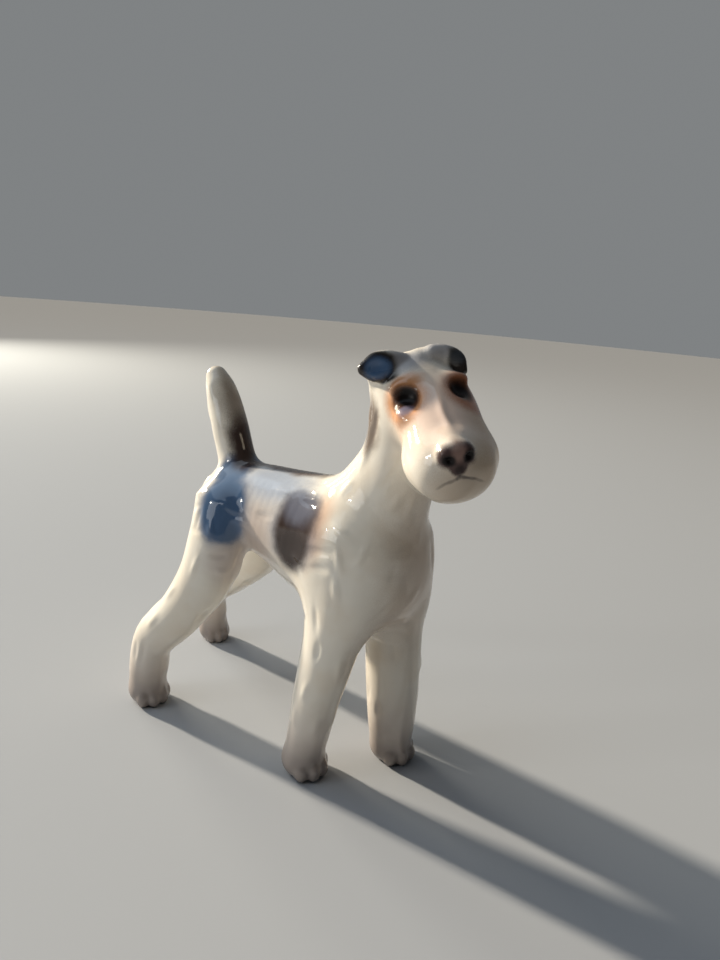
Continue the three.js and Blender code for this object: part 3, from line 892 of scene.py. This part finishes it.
def camera():
    """The photograph's view, from the dog's right front and a little above it."""
    eye = Vector(EYE) + Vector(SHIFT * MM)
    ahead = Vector(AHEAD).normalized()
    level = ahead.cross(Vector((0, 0, 1))).normalized()
    up = level.cross(ahead)
    tilt = math.radians(CAMERA_TILT)
    right, top = level * math.cos(tilt) + up * math.sin(tilt), up * math.cos(tilt) - level * math.sin(tilt)
    data = bpy.data.cameras.new("camera")
    data.lens, data.sensor_width = LENS, SENSOR
    data.clip_start, data.clip_end = 0.01, 20
    made = bpy.data.objects.new("camera", data)
    made.matrix_world = Matrix.Translation(eye) @ Matrix((right, top, -ahead)).transposed().to_4x4()
    bpy.context.scene.collection.objects.link(made)
    bpy.context.scene.camera = made


def softbox(name, at, towards, size, power, colour):
    data = bpy.data.lights.new(name, "AREA")
    data.shape, data.size, data.size_y = "RECTANGLE", *size
    data.energy, data.color = power, colour
    made = bpy.data.objects.new(name, data)
    made.location = at
    made.rotation_mode = "QUATERNION"
    made.rotation_quaternion = (Vector(at) - Vector(towards)).to_track_quat("Z", "Y")
    bpy.context.scene.collection.objects.link(made)


def studio():
    """A dim grey room, a low warm sun behind the dog, three softboxes at its right rear and a glint."""
    world = bpy.data.worlds.new("studio")
    bpy.context.scene.world = world
    world.use_nodes = True
    tree = world.node_tree
    around = tree.nodes.new("ShaderNodeTexCoord")
    behind = tree.nodes.new("ShaderNodeVectorMath")
    behind.operation = "DOT_PRODUCT"
    behind.inputs[1].default_value = ROOM_AXIS
    share = tree.nodes.new("ShaderNodeMapRange")
    share.interpolation_type = "SMOOTHSTEP"
    share.inputs["From Min"].default_value, share.inputs["From Max"].default_value = ROOM_FADE
    room = tree.nodes.new("ShaderNodeMix")
    room.data_type = "RGBA"
    room.inputs[6].default_value = ROOM_FRONT
    room.inputs[7].default_value = ROOM_BACK
    tree.links.new(around.outputs["Generated"], behind.inputs[0])
    tree.links.new(behind.outputs["Value"], share.inputs["Value"])
    tree.links.new(share.outputs[0], room.inputs[0])
    tree.links.new(room.outputs[2], tree.nodes["Background"].inputs["Color"])

    data = bpy.data.lights.new("sun", "SUN")
    data.energy, data.color, data.angle = SUN_POWER, SUN_COLOUR, math.radians(SUN_ANGLE)
    sun = bpy.data.objects.new("sun", data)
    sun.rotation_mode = "QUATERNION"
    sun.rotation_quaternion = Vector(SUN_FROM).to_track_quat("Z", "Y")
    bpy.context.scene.collection.objects.link(sun)
    centre = Vector(DOG_MIDDLE)
    for name, place, size, power, colour in SOFTBOXES:
        softbox(name, centre + Vector(place), centre, size, power, colour)


def floor():
    bm = bmesh.new()
    bmesh.ops.create_circle(bm, cap_ends=True, segments=128, radius=FLOOR_RADIUS)
    mesh = bpy.data.meshes.new("floor")
    bm.to_mesh(mesh)
    bm.free()
    made = bpy.data.objects.new("floor", mesh)
    material = bpy.data.materials.new("floor")
    material.use_nodes = True
    shader = material.node_tree.nodes["Principled BSDF"]
    shader.inputs["Base Color"].default_value = FLOOR_COLOUR
    shader.inputs["Roughness"].default_value = FLOOR_ROUGHNESS
    shader.inputs["Specular IOR Level"].default_value = 0.0
    mesh.materials.append(material)
    bpy.context.scene.collection.objects.link(made)


# ---------------------------------------------------------------- making it


body_finish = body_glaze("painted_body")
head_finish = head_glaze("painted_head")
ear_finish = head_glaze("painted_ears")
body_clay = sculpt((-32, -58, -6), (32, 60, 102), BODY_STEP)
head_clay = sculpt((-30, -75, 62), (28, -18, 112), HEAD_STEP)

body_seams = [(n, s, BODY) for n, s in SEAMS.items()]
points, faces, names = part(*body_clay.skin(), body_seams)
for name in ("torso_shell", "front_right_leg", "front_left_leg", "rear_right_leg", "rear_left_leg", "tail"):
    own = [f for f, n in zip(faces, names) if n == ("" if name == "torso_shell" else name)]
    piece(name, body_clay, points, own, body_finish)

head_seams = [(n, s, HEAD) for n, s in EAR_SEAMS.items()] + [("head_shell", SEAMS["head_shell"], BODY)]
points, faces, names = part(*head_clay.skin(), head_seams)
for name in ("head_shell", "right_ear", "left_ear"):
    own = [f for f, n in zip(faces, names) if n == name]
    finish, slot = (head_finish, "white_glaze") if name == "head_shell" else (ear_finish, "dark_glaze")
    piece(name, head_clay, points, own, finish)

camera()
studio()
floor()
bpy.context.scene.view_settings.view_transform = "Standard"
